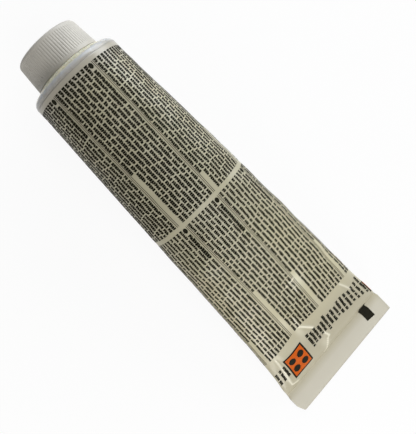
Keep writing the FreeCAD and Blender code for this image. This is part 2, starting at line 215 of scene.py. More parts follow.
def trim_corner(points):
    """Shortens the seal's rows at its trimmed corner, at the tail on the -Y side."""
    inner_end = GIRTH / 4 - DRAWN_IN - CORNER_ACROSS
    short = np.clip((-points[..., 1] - inner_end) / CORNER_ACROSS, 0, 1) * CORNER_ALONG
    in_seal = np.clip((points[..., 0] - SEAL_X) / SEAL, 0, 1)
    points[..., 0] -= in_seal * short
    return points


def grid_rows():
    """Places of the grid's rows along the tube."""
    collar = np.linspace(SHOULDER.x, COLLAR_X, COLLAR_ROWS, endpoint=False)
    wedge = np.linspace(COLLAR_X, SEAL_X, WEDGE_ROWS, endpoint=False)
    return np.concatenate([collar, wedge, np.linspace(SEAL_X, SEAL_X + SEAL, SEAL_ROWS)])


ROWS = grid_rows()
AROUND = np.linspace(-GIRTH / 2, GIRTH / 2, COLUMNS + 1)


def travel_along(table):
    """Distance along the sheet from the shoulder, for each point of the grid."""
    steps = np.linalg.norm(np.diff(table, axis=0), axis=2)
    return np.concatenate([np.zeros((1, table.shape[1])), np.cumsum(steps, axis=0)])


def outward(table):
    """Unit normals of the grid, pointing out of the sleeve."""
    closed = np.concatenate([table[:, -2:-1], table, table[:, 1:2]], axis=1)
    across = closed[:, 2:] - closed[:, :-2]
    along = np.gradient(table, axis=0)
    normal = np.cross(along, across)
    return normal / np.maximum(np.linalg.norm(normal, axis=2, keepdims=True), 1e-12)


# ---------------------------------------------------------------- what handling has done to the skin
# Sharp creases, as (d, s) in millimetres, with the height of the fold.
CREASES = (
    (0.16, ((130.1, 18.6), (133.5, 20.2), (136.8, 21.6))),
    (0.20, ((111.1, 4.6), (111.3, 0.2))),
    (0.20, ((111.6, 3.2), (115.7, 2.2))),
    (0.12, ((111.2, 10.4), (111.0, 6.8))),
    (0.26, ((123.7, -6.4), (128.6, -6.9), (134.0, -2.6))),
    (0.26, ((140.9, -0.2), (145.0, 0.9), (145.9, -0.4), (150.5, -2.9), (152.5, -4.0), (151.6, -4.8))),
    (0.20, ((131.6, -23.4), (140.0, -23.9), (147.2, -24.4), (148.8, -21.2))),
)
CREASE_WIDTH = 0.55
TROUGH_DEPTH, TROUGH_AT, TROUGH_WIDTH = 0.35, 2.2, 1.4     # beside the fold; shares of its height and width
WHITE_GAIN, WHITE_WIDTH = 4, 0.38       # how a fold whitens with its height, and how wide the white line is; the white line is also the fold's painted highlight
# Soft dents: d, s, half length along, half length across, depth.
DENTS = (
    (129.0, -9.0, 7.0, 5.0, 0.9),
    (113.0, 6.0, 6.0, 6.0, 0.6),
    (138.0, 14.0, 8.0, 6.0, 0.5),
    (145.0, -4.0, 5.0, 6.0, 0.5),
    (139.0, -26.0, 7.0, 4.0, 0.5),
    (100.0, -16.0, 14.0, 7.0, 0.4),
    (84.0, 8.0, 16.0, 8.0, 0.3),
)
# Painted highlights: soft pale patches where dents catch the light, as d, s, half lengths along and across,
# strength.
PAINTED_HIGHLIGHT_PATCHES = (
    (112.6, 5.6, 3.2, 3.4, 0.42),
    (129.0, -7.9, 4.2, 1.5, 0.40),
    (122.5, -10.5, 4.0, 1.4, 0.30),
    (146.5, -2.2, 3.0, 2.0, 0.25),
)
WAVES = 14                              # slow waves in the sheet
WAVE_HEIGHT, WAVE_LENGTHS, WAVE_TURN = 0.05, (9, 30), 1.2
# Handling shows on the upper side only, and it fades out: (place where it has gone, length of the fade).
TOP_FADE, COLLAR_FADE, SEAL_FADE = (33, 9), (6, 14), (151, 7)


def from_line(d, s, line):
    """Distance of every point from a line of straight steps, in millimetres."""
    nearest = np.full(np.shape(d), 1e9)
    for (d0, s0), (d1, s1) in zip(line, line[1:]):
        step_d, step_s = d1 - d0, s1 - s0
        share = ((d - d0) * step_d + (s - s0) * step_s) / (step_d ** 2 + step_s ** 2)
        share = np.clip(share, 0, 1)
        nearest = np.minimum(nearest, np.hypot(d - d0 - share * step_d, s - s0 - share * step_s))
    return nearest


def relief(d, s):
    """Height of the handled skin over the clean form, in millimetres; d and s in millimetres."""
    height = np.zeros(np.shape(d))
    rng = random.Random(7)
    for _ in range(WAVES):
        heading = rng.uniform(-WAVE_TURN, WAVE_TURN)
        length = rng.uniform(*WAVE_LENGTHS)
        phase = rng.uniform(0, 2 * math.pi)
        turn = 2 * math.pi * (d * math.cos(heading) + s * math.sin(heading)) / length
        height += WAVE_HEIGHT * np.sin(turn + phase)
    for d0, s0, long, wide, depth in DENTS:
        height -= depth * np.exp(-((d - d0) / long) ** 2 - ((s - s0) / wide) ** 2)
    for fold, line in CREASES:
        away = from_line(d, s, line) / CREASE_WIDTH
        trough = np.exp(-((away - TROUGH_AT) / TROUGH_WIDTH) ** 2)
        height += fold * np.exp(-away ** 2) - TROUGH_DEPTH * fold * trough
    top_only = np.clip((TOP_FADE[0] - np.abs(s)) / TOP_FADE[1], 0, 1)
    off_collar = np.clip((d - COLLAR_FADE[0]) / COLLAR_FADE[1], 0, 1)
    off_seal = np.clip((SEAL_FADE[0] - d) / SEAL_FADE[1], 0, 1)
    return height * top_only * off_collar * off_seal


def pale_folds_and_highlights(d, s):
    """How pale the skin is painted, from 0 to 1: real whitening along the folds, which also serves as their
    painted highlight, and painted highlight patches in the dents.
    """
    white = np.zeros(np.shape(d))
    for fold, line in CREASES:
        away = from_line(d, s, line) / WHITE_WIDTH
        white = np.maximum(white, min(fold * WHITE_GAIN, 1) * np.exp(-away ** 2))
    for d0, s0, long, wide, share in PAINTED_HIGHLIGHT_PATCHES:
        white = np.maximum(white, share * np.exp(-((d - d0) / long) ** 2 - ((s - s0) / wide) ** 2))
    return white


FORM = np.stack([row(x) for x in ROWS])
DISTANCE = travel_along(FORM)
HANDLED = outward(FORM) * (relief(DISTANCE / MM, AROUND / MM) * MM)[..., None]
FORM = trim_corner(draw_in(FORM + HANDLED))
NORMALS = outward(FORM)


def inner_rows(picked, inset):
    """Closed rows inside the sleeve, one after another, each that far inside the outer face."""
    return np.concatenate([draw_in(row(ROWS[i], inset) + HANDLED[i])[:-1] for i in picked])


def on_skin(d, s, lift):
    """Points lifted off the skin at the places (d, s), all in metres."""
    d, s = np.broadcast_arrays(np.asarray(d, float), np.asarray(s, float))
    column = np.clip((s + GIRTH / 2) / GIRTH * COLUMNS, 0, COLUMNS - 1e-6)
    left = column.astype(int)
    rest = column - left
    place = np.zeros(d.shape)
    for j in np.unique(left):
        here = left == j
        low = np.interp(d[here], DISTANCE[:, j], np.arange(len(ROWS)))
        high = np.interp(d[here], DISTANCE[:, j + 1], np.arange(len(ROWS)))
        place[here] = low * (1 - rest[here]) + high * rest[here]
    first = np.minimum(place.astype(int), len(ROWS) - 2)
    over = (place - first)[..., None]
    rest = rest[..., None]

    def blend(table):
        near = table[first, left] * (1 - over) + table[first + 1, left] * over
        far = table[first, left + 1] * (1 - over) + table[first + 1, left + 1] * over
        return near * (1 - rest) + far * rest

    return blend(FORM) + blend(NORMALS) * lift


# ================================================================ meshes
def mesh_object(name, points, faces, smooth=True):
    """A linked object with the given points and faces."""
    mesh = bpy.data.meshes.new(name)
    mesh.from_pydata([tuple(p) for p in points], [], faces)
    mesh.validate()
    mesh.update()
    if smooth:
        mesh.polygons.foreach_set("use_smooth", [True] * len(mesh.polygons))
    made = bpy.data.objects.new(name, mesh)
    bpy.context.collection.objects.link(made)
    return made


def strip(faces, a, b, ring):
    """Joins the closed row that starts at point a to the one that starts at b."""
    for j in range(ring):
        k = (j + 1) % ring
        faces.append((a + j, b + j, b + k, a + k))


def lid(faces, a, ring, inner):
    """Closes a flat row by joining its upper half to its lower half; inner turns the faces round."""
    top = ring // 2
    for j in range(-ring // 4, ring // 4):
        square = (a + top + j, a + top + j + 1, a + (-j - 1) % ring, a + (-j) % ring)
        corners = tuple(dict.fromkeys(square))
        if len(corners) > 2:
            faces.append(corners if inner else corners[::-1])


def skin_mesh():
    """The sleeve as one closed wall: outer face, collar edge, and an inner face that ends near the seal."""
    outer = FORM[:, :-1].reshape(-1, 3)
    picked = range(0, int(np.searchsorted(ROWS, COLLAR_X + INNER_END * RUN)), INNER_STEP)
    points = np.concatenate([outer, inner_rows(picked, WALL)])
    faces = []
    for i in range(len(ROWS) - 1):
        strip(faces, i * COLUMNS, (i + 1) * COLUMNS, COLUMNS)
    lid(faces, (len(ROWS) - 1) * COLUMNS, COLUMNS, False)
    base = len(outer)
    for i in range(len(picked) - 1):
        strip(faces, base + (i + 1) * COLUMNS, base + i * COLUMNS, COLUMNS)
    strip(faces, base, 0, COLUMNS)
    lid(faces, base + (len(picked) - 1) * COLUMNS, COLUMNS, True)
    return points, faces


def circle(radius, height, columns, around=None):
    """A closed row of points round the head's axis; around changes the radius by the angle."""
    up = np.array((math.sin(TILT), 0, math.cos(TILT)))
    angle = np.linspace(-math.pi, math.pi, columns, endpoint=False)
    reach = radius + (around(angle) if around else 0 * angle)
    centre = np.array(SHOULDER) + np.array(AXIS) * height
    return centre + reach[:, None] * (np.cos(angle)[:, None] * up + np.sin(angle)[:, None] * (0, 1, 0))


def make_paste():
    """The contents as one closed form: the neck and the cone inside the head, then the wedge."""
    last = int(np.searchsorted(ROWS, COLLAR_X + PASTE_END * RUN))
    picked = range(COLLAR_ROWS, last, INNER_STEP)
    head = [circle(radius * MM, height * MM, COLUMNS) for radius, height in PASTE_HEAD[::-1]]
    tip = np.array(SHOULDER) + np.array(AXIS) * (PASTE_HEAD[-1][1] + PASTE_TIP) * MM
    points = np.concatenate(head + [inner_rows(picked, WALL + PASTE_GAP), [tip]])
    rows = len(head) + len(picked)
    faces = []
    for i in range(rows - 1):
        strip(faces, i * COLUMNS, (i + 1) * COLUMNS, COLUMNS)
    for j in range(COLUMNS):
        faces.append((len(points) - 1, j, (j + 1) % COLUMNS))
    lid(faces, (rows - 1) * COLUMNS, COLUMNS, False)
    paste = mesh_object("paste_fill", points, faces)
    paste.data.set_sharp_from_angle(angle=SHARP)
    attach(paste, "tube")
    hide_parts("paste")
    return paste


def cap_outline():
    """The cap's half section as (radius, height), from the ceiling round the foot to the closed end."""
    outline = [(BORE, CAP_CEILING), (BORE, CAP_FOOT + CAP_LEAD_IN), (BORE + CAP_LEAD_IN, CAP_FOOT),
               (CAP_SKIRT - FOOT_LIP_WIDE, CAP_FOOT), (CAP_SKIRT - FOOT_EDGE, CAP_FOOT - FOOT_LIP),
               (CAP_SKIRT, CAP_FOOT - FOOT_LIP + FOOT_EDGE)]
    draft = math.atan2(CAP_SKIRT - CAP_TOP, CAP_END - CAP_FOOT)
    shoulder = CAP_END - CAP_EDGE
    for k in range(1, SKIRT_STEPS):
        height = CAP_FOOT + (shoulder - CAP_FOOT) * k / SKIRT_STEPS
        outline.append((CAP_SKIRT - (height - CAP_FOOT) * math.tan(draft), height))
    corner = outline[-1][0] - EDGE_GAP * math.tan(draft) - CAP_EDGE
    for k in range(EDGE_STEPS + 1):
        angle = math.pi / 2 * k / EDGE_STEPS
        outline.append((corner + CAP_EDGE * math.cos(angle), shoulder + CAP_EDGE * math.sin(angle)))
    return outline


def make_cap():
    """The screw cap with its fine flutes, open below."""
    columns = FLUTES * FLUTE_COLUMNS

    def groove(angle):
        return (1 - np.abs(np.sin(angle * FLUTES / 2))) ** FLUTE_SHARPNESS

    points, faces = [], []
    outline = cap_outline()
    for radius, height in outline:
        ends = min(height - FLUTED[0], FLUTED[1] - height) / FLUTE_RUN_OUT
        depth = FLUTE_DEPTH * min(max(ends, 0.0), 1.0) if radius > FLUTED_OUTSIDE else 0.0
        points.append(circle(radius, height, columns, lambda angle: -depth * groove(angle)))
    middles = [np.array(SHOULDER) + np.array(AXIS) * height for height in (CAP_CEILING, CAP_END)]
    for i in range(len(outline) - 1):
        strip(faces, (i + 1) * columns, i * columns, columns)
    count = len(outline) * columns
    for j in range(columns):
        k = (j + 1) % columns
        faces.append((count, k, j))
        faces.append((count + 1, count - columns + j, count - columns + k))
    cap = mesh_object("cap_fluted", np.concatenate(points + [middles]), faces)
    cap.data.set_sharp_from_angle(angle=SHARP)
    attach(cap, "cap")
    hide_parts("screw_cap")
    return cap


def make_skin():
    """The sleeve with its dents and folds; an attribute marks where the skin is painted pale, for whitened
    folds and painted highlights.
    """
    points, faces = skin_mesh()
    skin = mesh_object("sleeve_skin", points, faces)
    marks = np.zeros(len(points))
    outer = pale_folds_and_highlights(DISTANCE[:, :-1] / MM, AROUND[:-1] / MM).reshape(-1)
    marks[: len(outer)] = outer
    layer = skin.data.attributes.new("whitening_and_highlight", "FLOAT", "POINT")
    layer.data.foreach_set("value", marks)
    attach(skin, "tube")
    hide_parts("sleeve")
    return skin


# ================================================================ print
# All in millimetres along (d) and across (s) the sheet, apart from the lift.
INK_LIFT = 0.04 * MM                    # above the skin; the dots on the orange lie twice as high
BEND_STEP, LONG_STEP = 0.7, 0.95        # longest step of a printed shape round the tube, and along it
BOW = 0.0028                            # the flattened tail draws the middle of each line of print back,
BOW_FROM, BOW_TO = 64.0, 125.0          # growing between these distances

# Greeked letters: an upright bar, and against it a block over one of these spans of its height.
BLOCKS = ((0.0, 1.0), (0.0, 1.0), (0.13, 0.87), (0.0, 0.76), (0.24, 1.0))
BLOCK_WIDTHS = (0.9, 1.35)              # in bar widths
WIDEST_LETTER = 2.35                    # as well; a row stops where there is no room for one
RISING, RISE = 0.1, 0.22                # share of the bars that stand up above the row, and by how much
HANGING, DROP = 0.94, 0.2               # those above this share hang below it
LETTER_GAP, WORD_GAP, SHORTEST_WORD = 0.065, 0.43, 1.3
WORD_LETTERS = (2, 8)
RAGGED_BY = 0.15                        # a row ends up to this much before the column does

# Each column of print: start and end, height of its letters at the top line and how that changes with s,
# width of a bar, bow, and its paragraphs as (place of the rule above, rows, share of the last row printed).
PRINT_COLUMNS = (
    {"start": 1.95, "end": 63.8, "height": 1.25, "change": -0.0035, "stem": 0.36, "bow": 0.0,
     "paragraphs": ((41.2, 10, 0.7), (22.8, 10, 0.86), (4.5, 10, 0.6), (-13.9, 10, 0.8), (-32.3, 6, 0.9))},
    {"start": 65.5, "end": 128.5, "height": 1.09, "change": 0.003, "stem": 0.30, "bow": BOW,
     "paragraphs": ((39.4, 9, 0.66), (22.6, 9, 0.68), (4.6, 9, 0.58), (-11.6, 9, 0.8), (-27.8, 8, 0.9))},
)
RULE_TO_ROW, ROW_TO_RULE = 1.55, 1.2    # to the middle of the row below a rule, and from the row above one
ROW_PITCH = 1.72                        # in the last paragraph; the others fill the space between rules
RULE_APART, RULE_HALF = 0.31, 0.11      # half the distance of a double rule's lines, and half their width
BADGE_AT, BADGE_LONG, BADGE_WIDE, BADGE_STEPS = 1.2, 1.1, 0.82, 7
HEADING_AT, HEADING_LETTERS, HEADING_HEIGHT, HEADING_STEM = 3.2, (12, 15), 1.42, 0.44
HEADING_SHIFT, HEADING_GAP = 0.1, 0.7

# The stack of short words: lengths of those on the square's +Y side, from the outermost in, then the
# places of those on its -Y side, which all have one length.
SHORT_WORDS = (10.8, 8.4, 7.8, 6.9, 8.4, 8.7, 8.4, 6.2, 7.5, 6.4, 9.9, 6.4, 5.6, 7.8, 7.2, 8.4)
SHORT_WORDS_AT, SHORT_WORDS_TOP = 138.2, 27.1
SHORT_WORD_PITCH, SHORT_WORD_CLOSER = 2.62, 0.024       # they get closer towards the square
SHORT_WORD_HEIGHT, SHORT_WORD_STEM = 1.32, 0.34
LOW_WORDS, LOW_WORD_HALF = (-22.9, -25.4, -27.9, -36.0, -38.2, -40.4), 2.9

# The orange square, the one that is just in sight round the side, and the register mark at the seal.
PATCH_ALONG, PATCH_ACROSS = (134.9, 145.6), (-20.8, -11.4)
SLIVER_ALONG, SLIVER_ACROSS = (140.5, 147.0), (28.8, 38.0)
REGISTER_ALONG, REGISTER_ACROSS = (149.9, 159.9), (18.1, 22.4)
FRAME_WIDTH = 0.75
DOT_RADIUS, DOT_APART, DOT_STEPS = 1.65, 2.35, 9


class Print:
    """Collects flat printed shapes as (d0, d1, s0, s1, bow) in millimetres and lays them on the skin."""

    def __init__(self, lift=INK_LIFT):
        self.shapes = []
        self.lift = lift

    def bar(self, d0, d1, s0, s1, bow=0.0):
        """A rectangle, cut into steps that are short enough to follow the skin."""
        pieces_s = max(1, math.ceil(abs(s1 - s0) / BEND_STEP))
        pieces_d = max(1, math.ceil(abs(d1 - d0) / LONG_STEP))
        for i in range(pieces_d):
            for j in range(pieces_s):
                self.shapes.append((d0 + (d1 - d0) * i / pieces_d, d0 + (d1 - d0) * (i + 1) / pieces_d,
                                    s0 + (s1 - s0) * j / pieces_s, s0 + (s1 - s0) * (j + 1) / pieces_s, bow))

    def oval(self, d, s, half_long, half_wide, steps, bow=0.0):
        """An oval made of bars that lie side by side."""
        for k in range(steps):
            across = half_wide * (2 * (k + 0.5) / steps - 1)
            reach = half_long * math.sqrt(1 - (across / half_wide) ** 2)
            half_step = half_wide / steps
            self.bar(d - reach, d + reach, s + across - half_step, s + across + half_step, bow)

    def object(self, name):
        """The collected shapes as one piece, lifted off the skin."""
        data = np.array(self.shapes)
        d = data[:, [0, 1, 1, 0]]
        s = data[:, [2, 2, 3, 3]]
        d = d + data[:, 4:5] * s ** 2 * np.clip((d - BOW_FROM) / (BOW_TO - BOW_FROM), 0, 1)
        points = on_skin(d * MM, s * MM, self.lift).reshape(-1, 3)
        faces = [(i, i + 1, i + 2, i + 3) for i in range(0, len(points), 4)]
        made = mesh_object(name, points, faces)
        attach(made, "tube")
        return made


def greeked_letter(ink, rng, d, s, height, stem, bow):
    """One stand-in for a letter: an upright bar with a plain block against it. Returns its width."""
    low, high = s - height / 2, s + height / 2
    chance = rng.random()
    top = high + RISE if chance < RISING else high
    base = low - DROP if chance > HANGING else low
    ink.bar(d, d + stem, base, top, bow)
    width = stem * rng.uniform(*BLOCK_WIDTHS)
    start, end = rng.choice(BLOCKS)
    ink.bar(d + stem, d + stem + width, low + start * height, low + end * height, bow)
    return stem + width


def greeked_row(ink, rng, start, end, s, height, stem, bow):
    """A row of greeked words that fills the space between two places along the sheet."""
    d = start
    widest = WIDEST_LETTER * stem
    while d + widest < end:
        for _ in range(rng.randint(*WORD_LETTERS)):
            if d + widest < end:
                d += greeked_letter(ink, rng, d, s, height, stem, bow) + LETTER_GAP
        if end - d > SHORTEST_WORD:
            d += WORD_GAP
    if end - d > stem / 2:
        ink.bar(d, end, s - height / 2, s + height / 2, bow)


def heading(ink, rng, d, s, bow):
    """Bolder, taller greeked letters after the badge. Returns where the ordinary print goes on."""
    for _ in range(rng.randint(*HEADING_LETTERS)):
        d += greeked_letter(ink, rng, d, s - HEADING_SHIFT, HEADING_HEIGHT, HEADING_STEM, bow) + LETTER_GAP
    return d + HEADING_GAP


def print_column(ink, rng, column):
    """A column of paragraphs, each under a double rule and headed by a badge and a heading."""
    start, end, height, stem, bow = (column[k] for k in ("start", "end", "height", "stem", "bow"))
    paragraphs = column["paragraphs"]
    for (top, rows, last), below in zip(paragraphs, paragraphs[1:] + (None,)):
        bottom = below[0] if below else top - RULE_TO_ROW - ROW_TO_RULE - (rows - 1) * ROW_PITCH
        pitch = (top - bottom - RULE_TO_ROW - ROW_TO_RULE) / (rows - 1)
        for offset in (-RULE_APART, RULE_APART):
            ink.bar(start, end, top + offset - RULE_HALF, top + offset + RULE_HALF, bow)
        for k in range(rows):
            s = top - RULE_TO_ROW - k * pitch
            row_end = start + (end - start) * last if k == rows - 1 else end - rng.uniform(0, RAGGED_BY)
            row_start = start
            if k == 0:
                ink.oval(start + BADGE_AT, s, BADGE_LONG, BADGE_WIDE, BADGE_STEPS, bow)
                row_start = heading(ink, rng, start + HEADING_AT, s, bow)
            greeked_row(ink, rng, row_start, row_end, s, height + column["change"] * s, stem, bow)


def short_words(ink, rng):
    """The stack of short greeked words beside the seal, each centred on one line across the tube."""
    placed = [(SHORT_WORDS_TOP - SHORT_WORD_PITCH * k + SHORT_WORD_CLOSER * k ** 2, length / 2)
              for k, length in enumerate(SHORT_WORDS)]
    for s, half in placed + [(s, LOW_WORD_HALF) for s in LOW_WORDS]:
        greeked_row(ink, rng, SHORT_WORDS_AT - half, SHORT_WORDS_AT + half, s,
                    SHORT_WORD_HEIGHT, SHORT_WORD_STEM, BOW)


def frames_of_squares(ink):
    """Dark frames round the orange square and round the one that is just in sight."""
    for (d0, d1), (s0, s1) in ((PATCH_ALONG, PATCH_ACROSS), (SLIVER_ALONG, SLIVER_ACROSS)):
        ink.bar(d0 - FRAME_WIDTH, d1 + FRAME_WIDTH, s0 - FRAME_WIDTH, s0)
        ink.bar(d0 - FRAME_WIDTH, d1 + FRAME_WIDTH, s1, s1 + FRAME_WIDTH)
        ink.bar(d0 - FRAME_WIDTH, d0, s0, s1)
        ink.bar(d1, d1 + FRAME_WIDTH, s0, s1)


def dots_on_patch(ink):
    """Four plain dark dots on the orange square."""
    middle_d, middle_s = sum(PATCH_ALONG) / 2, sum(PATCH_ACROSS) / 2
    for d in (middle_d - DOT_APART, middle_d + DOT_APART):
        for s in (middle_s - DOT_APART, middle_s + DOT_APART):
            ink.oval(d, s, DOT_RADIUS, DOT_RADIUS, DOT_STEPS)


def make_print():
    """The three printed pieces: dark ink, the dots on the orange, and the orange."""
    rng = random.Random(23)
    ink = Print()
    for column in PRINT_COLUMNS:
        print_column(ink, rng, column)
    short_words(ink, rng)
    frames_of_squares(ink)
    ink.bar(*REGISTER_ALONG, *REGISTER_ACROSS)
    dots = Print(lift=2 * INK_LIFT)
    dots_on_patch(dots)
    orange = Print()
    orange.bar(*PATCH_ALONG, *PATCH_ACROSS)
    orange.bar(*SLIVER_ALONG, *SLIVER_ACROSS)
    return ink.object("print_ink"), dots.object("print_dots"), orange.object("print_orange")


# ================================================================ threads
def ridge(name, root, rise, heights, phase, body):
    """A helical ridge round the head's axis, running out at both ends; a negative rise points inwards."""
    up = Vector((math.sin(TILT), 0, math.cos(TILT)))
    side = AXIS.cross(up)
    turns = (heights[1] - heights[0]) / PITCH
    steps = int(turns * THREAD_STEPS)
    points = []
    for i in range(steps + 1):
        share = i / steps
        run_out = min(1.0, share * turns * RUN_OUT_RATE, (1 - share) * turns * RUN_OUT_RATE)
        angle = 2 * math.pi * turns * share + phase
        height = heights[0] + (heights[1] - heights[0]) * share
        away = up * math.cos(angle) + side * math.sin(angle)
        inside = math.copysign(THREAD_ROOTED, rise)
        profile = ((-ROOT_HALF, -inside), (-CREST_HALF, rise * run_out), (CREST_HALF, rise * run_out),
                   (ROOT_HALF, -inside))
        for offset, reach in profile:
            points.append(SHOULDER + AXIS * (height + offset) + away * (root + reach))
    faces = []
    for i in range(steps):
        for k in range(4):
            a, b = i * 4 + k, i * 4 + (k + 1) % 4
            faces.append((a, b, b + 4, a + 4))
    faces.append((3, 2, 1, 0))
    faces.append(tuple(steps * 4 + k for k in range(4)))
    if rise > 0:
        faces = [face[::-1] for face in faces]
    made = mesh_object(name, points, faces)
    made.data.set_sharp_from_angle(angle=THREAD_SHARP)
    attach(made, body)
    return made


# ================================================================ materials
def new_material(name, colour, roughness):
    """A material and its shader node."""
    material = bpy.data.materials.new(name)
    material.use_nodes = True
    shader = material.node_tree.nodes["Principled BSDF"]
    shader.inputs["Base Color"].default_value = (*colour, 1)
    shader.inputs["Roughness"].default_value = roughness
    return material, shader


def add(material, kind, **values):
    """A node whose inputs and settings have these values."""
    node = material.node_tree.nodes.new(kind)
    for key, value in values.items():
        if key in node.inputs:
            node.inputs[key].default_value = value
        else:
            setattr(node, key, value)
    return node


def link(material, source, target):
    """Joins an output to an input."""
    material.node_tree.links.new(source, target)


def noise(material, scale, detail=3.0):
    """Noise over the object's own coordinates; scale counts its features per metre."""
    place = add(material, "ShaderNodeTexCoord")
    texture = add(material, "ShaderNodeTexNoise", Scale=scale, Detail=detail)
    link(material, place.outputs["Object"], texture.inputs["Vector"])
    return texture.outputs["Fac"]


def ramp(material, source, low, high, stops=(0.35, 0.65)):
    """Colour that goes from low to high as the source does."""
    node = add(material, "ShaderNodeValToRGB")
    for element, place, colour in zip(node.color_ramp.elements, stops, (low, high)):
        element.position = place
        element.color = (*colour, 1)
    link(material, source, node.inputs["Fac"])
    return node.outputs["Color"]


def span(material, source, low, high):
    """The source's 0 to 1 mapped to low to high."""
    node = add(material, "ShaderNodeMapRange")
    node.inputs["To Min"].default_value = low
    node.inputs["To Max"].default_value = high
    link(material, source, node.inputs["Value"])
    return node.outputs["Result"]


def mix(material, factor, first, second, blend="MIX"):
    """The first colour, turned into the second, or multiplied by it, by the factor."""
    node = add(material, "ShaderNodeMix", data_type="RGBA", blend_type=blend)
    link(material, factor, node.inputs["Factor"])
    link(material, first, node.inputs["A"])
    node.inputs["B"].default_value = (*second, 1)
    return node.outputs["Result"]


def bump(material, shader, source, distance, strength):
    """Fine relief of the surface; distance is in metres."""
    node = add(material, "ShaderNodeBump", Strength=strength, Distance=distance)
    link(material, source, node.inputs["Height"])
    link(material, node.outputs["Normal"], shader.inputs["Normal"])


def scaled(colour, share):
    """The colour, darker or paler by this share."""
    return tuple(c * share for c in colour)


def along(material, node_output, origin, direction, low, high):
    """0 to 1 as the distance from origin along direction goes from low to high."""
    offset = add(material, "ShaderNodeVectorMath", operation="SUBTRACT")
    link(material, node_output, offset.inputs[0])
    offset.inputs[1].default_value = origin
    reach = add(material, "ShaderNodeVectorMath", operation="DOT_PRODUCT")
    link(material, offset.outputs["Vector"], reach.inputs[0])
    reach.inputs[1].default_value = direction
    scaled = add(material, "ShaderNodeMapRange")
    scaled.inputs["From Min"].default_value = low
    scaled.inputs["From Max"].default_value = high
    link(material, reach.outputs["Value"], scaled.inputs["Value"])
    return scaled.outputs["Result"]


def bands(material, source, stops):
    """Colour that passes through each (place, colour) stop in turn."""
    node = add(material, "ShaderNodeValToRGB")
    elements = node.color_ramp.elements
    while len(elements) < len(stops):
        elements.new(0.5)
    for element, (place, colour) in zip(elements, stops):
        element.position = place
        element.color = (*colour, 1)
    link(material, source, node.inputs["Fac"])
    return node.outputs["Color"]


def skin_material():
    """Satin polyethylene over paste: tone along the tube, lighter at the tail partly as painted light, slow
    mottling, fine grain, white folds and painted highlights.
    """
    material, shader = new_material("sleeve_plastic", BODY_TONE, roughness=0.34)
    place = add(material, "ShaderNodeTexCoord").outputs["Object"]
    length = SLEEVE_HIGH.x - SHOULDER.x
    run = along(material, place, SHOULDER, (1, 0, 0), 0.0, length)
    seal = (length - SEAL) / length
    tone = bands(material, run, SKIN_TONES + ((seal - 0.006, BLANK_TONE), (seal + 0.012, SEAL_TONE)))
    mottle = span(material, noise(material, scale=70, detail=4), low=0.0, high=0.22)
    tone = mix(material, mottle, tone, SKIN_MOTTLE, blend="MULTIPLY")
    whitened_and_highlit = add(material, "ShaderNodeAttribute", attribute_name="whitening_and_highlight")
    # Paler where the folds whiten and where painted highlights lie.
    tone = mix(material, whitened_and_highlit.outputs["Fac"], tone, FOLD_WHITE_AND_HIGHLIGHT)
    link(material, tone, shader.inputs["Base Color"])
    rough = span(material, noise(material, scale=180), low=0.26, high=0.42)
    link(material, rough, shader.inputs["Roughness"])
    shader.inputs["Coat Weight"].default_value = 0.08
    shader.inputs["Coat Roughness"].default_value = 0.2
    bump(material, shader, noise(material, scale=1400), distance=0.04 * MM, strength=0.35)
    return material


def print_material(name, colour, roughness, sheen, grain, other, stops, rough):
    """Printing ink: little sheen, a fine grain from one tone to the other, uneven roughness."""
    material, shader = new_material(name, colour, roughness)
    shader.inputs["Specular IOR Level"].default_value = sheen
    tone = ramp(material, noise(material, scale=grain), colour, other, stops)
    link(material, tone, shader.inputs["Base Color"])
    uneven = span(material, noise(material, scale=400, detail=2), *rough)
    link(material, uneven, shader.inputs["Roughness"])
    return material


def ink_material():
    """The dark ink."""
    return print_material("print_ink", INK, roughness=0.55, sheen=0.06, grain=2500,
                          other=scaled(INK, 2.6), stops=(0.4, 0.8), rough=(0.48, 0.62))


def orange_material():
    """The orange of the squares."""
    return print_material("print_orange", ORANGE, roughness=0.4, sheen=0.12, grain=1500,
                          other=scaled(ORANGE, 0.82), stops=(0.35, 0.65), rough=(0.28, 0.42))


def head_material():
    """Moulded polyethylene: yellowish on the cone and paler yellow by the cap's foot, there partly a painted
    glow in the gap's shade; white on the rounding, partly a painted highlight; greyer at the rim.
    """
    material, shader = new_material("head_plastic", HEAD_WHITE_AND_HIGHLIGHT, roughness=0.3)
    place = add(material, "ShaderNodeTexCoord").outputs["Object"]
    height = along(material, place, SHOULDER, AXIS, 0.0, HEAD_TONE_HEIGHT)
    tone = bands(material, height, HEAD_TONES)
    fleck = span(material, noise(material, scale=150), low=0.0, high=0.3)
    tone = mix(material, fleck, tone, HEAD_FLECK, blend="MULTIPLY")
    link(material, tone, shader.inputs["Base Color"])
    rough = span(material, noise(material, scale=250), low=0.2, high=0.34)
    link(material, rough, shader.inputs["Roughness"])
    shader.inputs["Subsurface Weight"].default_value = 0.7
    shader.inputs["Subsurface Scale"].default_value = 4 * MM
    shader.inputs["Subsurface Radius"].default_value = (1.0, 0.85, 0.65)
    bump(material, shader, noise(material, scale=700), distance=0.05 * MM, strength=0.35)
    return material


def cap_material():
    """Matt moulded cap, faintly mottled."""
    material, shader = new_material("cap_plastic", CAP_WHITE, roughness=0.5)
    tone = ramp(material, noise(material, scale=120, detail=4), CAP_WHITE, scaled(CAP_WHITE, 0.9))
    link(material, tone, shader.inputs["Base Color"])
    rough = span(material, noise(material, scale=300), low=0.42, high=0.58)
    link(material, rough, shader.inputs["Roughness"])
    bump(material, shader, noise(material, scale=1800, detail=2), distance=0.02 * MM, strength=0.25)
    return material


